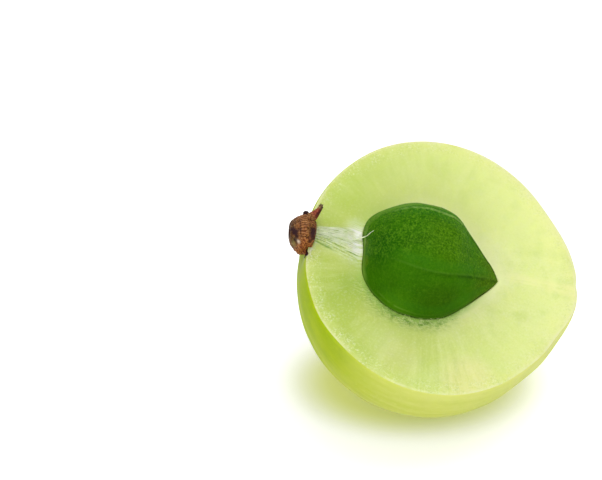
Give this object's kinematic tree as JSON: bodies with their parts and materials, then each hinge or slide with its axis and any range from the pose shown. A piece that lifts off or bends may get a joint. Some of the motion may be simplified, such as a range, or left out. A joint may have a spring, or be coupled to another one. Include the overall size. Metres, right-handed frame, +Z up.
{
  "type": "indian gooseberry",
  "caption": "Half of a fresh Indian gooseberry (amla), cut lengthwise: pale flesh around its green pointed stone, white stalk fibres and the dry brown calyx, resting on its skin.",
  "frame": {"origin": "centre of the small flat spot on the skin that the half rests on", "axes": "+Z up; +X from the stalk end towards the apex; -Y is the side that the cut face leans towards"},
  "size_m": [0.0311, 0.0308, 0.0238],
  "materials": {
    "flesh": "satin",
    "stone": "satin",
    "fibre": "matte",
    "calyx": "matte"
  },
  "bodies": {
    "root": {"fruit_half": "flesh", "stone": "stone", "fibre_strand": "fibre", "calyx": "calyx"}
  },
  "joints": []
}
